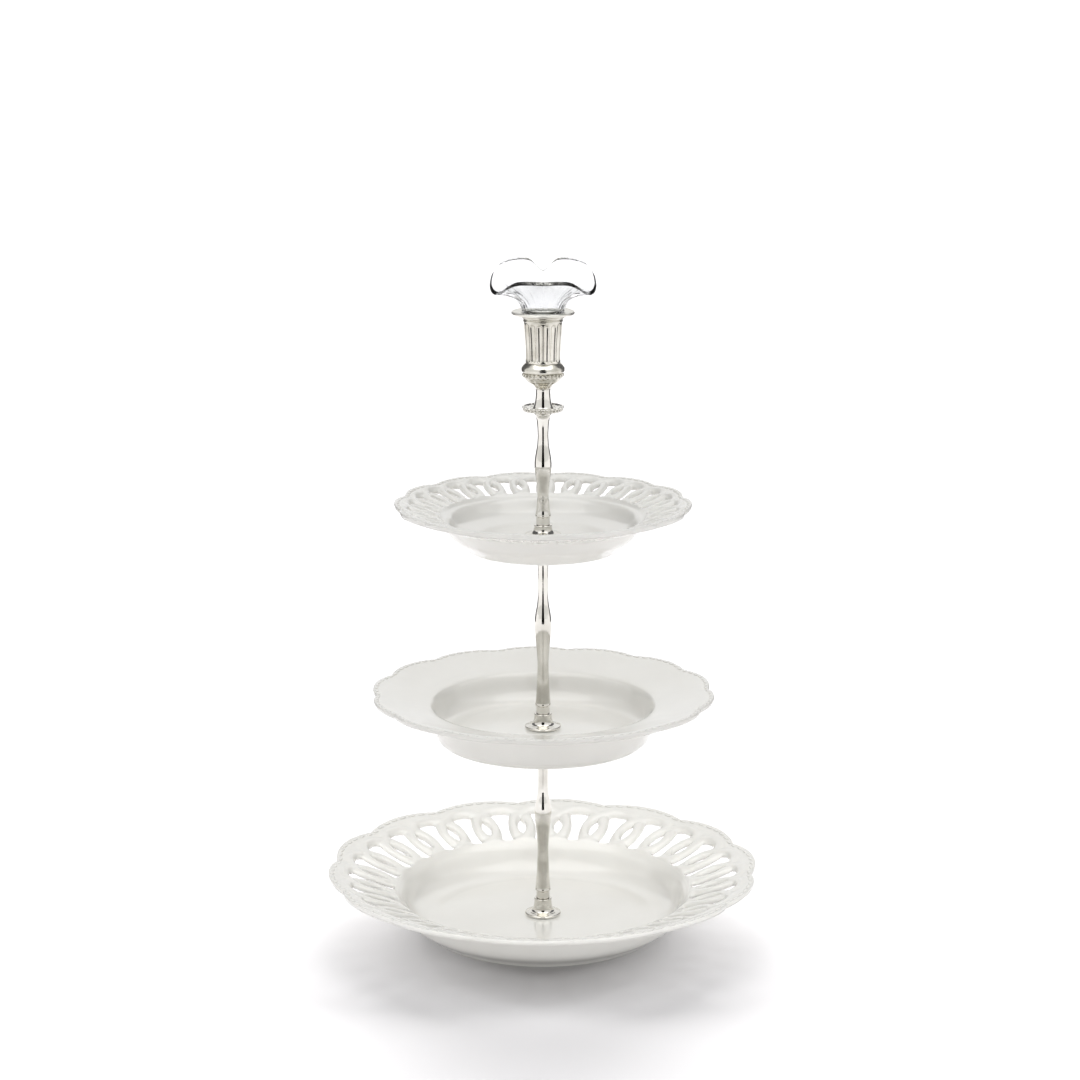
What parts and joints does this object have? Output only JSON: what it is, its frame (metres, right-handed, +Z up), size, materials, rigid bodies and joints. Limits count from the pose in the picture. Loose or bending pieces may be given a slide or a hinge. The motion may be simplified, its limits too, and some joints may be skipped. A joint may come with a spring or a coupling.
{
  "type": "tiered cake stand",
  "caption": "Cake stand of scalloped, pierced and plain glazed plates on a turned metal stem, topped by a fluted candle cup with a glass flower insert.",
  "frame": {"origin": "on the stem's axis, on the plane of the foot ring that the stand rests on", "axes": "+Z up along the stem; -Y faces the viewer of the picture; +X to the viewer's right"},
  "size_m": [0.3046, 0.3052, 0.4766],
  "materials": {
    "glaze": "clear gloss glaze over off-white creamware",
    "silver_plate": "polished silver plate, slightly warm",
    "satin_silver": "satin spun metal",
    "steel": "zinc plated, satin",
    "pad": "matt",
    "seal": "soft translucent",
    "clear_glass": "clear blown glass, fire-polished lip"
  },
  "bodies": {
    "bottom_tier": {"bottom_screw": "steel", "bottom_washer": "steel", "bottom_under_pad": "pad", "bottom_plate": "glaze", "bottom_over_pad": "pad"},
    "lower_collar": {"lower_collar": "silver_plate"},
    "lower_section": {"lower_stem": "silver_plate", "lower_stud": "steel", "middle_under_pad": "pad"},
    "middle_tier": {"middle_plate": "glaze", "middle_over_pad": "pad"},
    "middle_collar": {"middle_collar": "silver_plate"},
    "middle_section": {"middle_stem": "silver_plate", "middle_stud": "steel", "top_under_pad": "pad"},
    "top_tier": {"top_plate": "glaze", "top_over_pad": "pad"},
    "upper_collar": {"upper_collar": "silver_plate"},
    "upper_section": {"upper_stem": "silver_plate"},
    "pan": {"drip_pan": "silver_plate"},
    "cup": {"cup_foot": "silver_plate", "cup_bowl": "silver_plate", "cup_barrel": "silver_plate", "cup_screw": "steel"},
    "nozzle": {"cup_nozzle": "satin_silver"},
    "vase": {"glass_vase": "clear_glass", "vase_ring": "seal"}
  },
  "joints": [
    {"name": "lower_collar_rise", "type": "slide", "parent": "bottom_tier", "child": "lower_collar", "axis": [0, 0, 1], "range_m": [0, 0.008]},
    {"name": "lower_stem_turn", "type": "hinge", "parent": "lower_collar", "child": "lower_section", "pos_m": [0, 0, 0.0206], "axis": [0, 0, 1], "range_deg": [0, 3600]},
    {"name": "middle_plate_turn", "type": "hinge", "parent": "lower_section", "child": "middle_tier", "pos_m": [0, 0, 0.1468], "axis": [0, 0, 1], "continuous": true},
    {"name": "middle_collar_rise", "type": "slide", "parent": "lower_section", "child": "middle_collar", "axis": [0, 0, 1], "range_m": [0, 0.008]},
    {"name": "middle_stem_turn", "type": "hinge", "parent": "middle_collar", "child": "middle_section", "pos_m": [0, 0, 0.1578], "axis": [0, 0, 1], "range_deg": [0, 3600]},
    {"name": "top_plate_turn", "type": "hinge", "parent": "middle_section", "child": "top_tier", "pos_m": [0, 0, 0.2856], "axis": [0, 0, 1], "continuous": true},
    {"name": "upper_collar_rise", "type": "slide", "parent": "middle_section", "child": "upper_collar", "axis": [0, 0, 1], "range_m": [0, 0.008]},
    {"name": "upper_stem_turn", "type": "hinge", "parent": "upper_collar", "child": "upper_section", "pos_m": [0, 0, 0.294], "axis": [0, 0, 1], "range_deg": [0, 3600]},
    {"name": "pan_rise", "type": "slide", "parent": "upper_section", "child": "pan", "axis": [0, 0, 1], "range_m": [0, 0.0056]},
    {"name": "cup_turn", "type": "hinge", "parent": "pan", "child": "cup", "pos_m": [0, 0, 0.3761], "axis": [0, 0, 1], "range_deg": [0, 2880]},
    {"name": "nozzle_lift", "type": "slide", "parent": "cup", "child": "nozzle", "axis": [0, 0, 1], "range_m": [0, 0.03]},
    {"name": "vase_lift", "type": "slide", "parent": "nozzle", "child": "vase", "axis": [0, 0, 1], "range_m": [0, 0.06]}
  ],
  "couplings": [
    {"joint": "lower_stem_turn", "follows": "lower_collar_rise", "rad_per_m": 7854},
    {"joint": "middle_stem_turn", "follows": "middle_collar_rise", "rad_per_m": 7854},
    {"joint": "upper_stem_turn", "follows": "upper_collar_rise", "rad_per_m": 7854},
    {"joint": "cup_turn", "follows": "pan_rise", "rad_per_m": 8976}
  ]
}
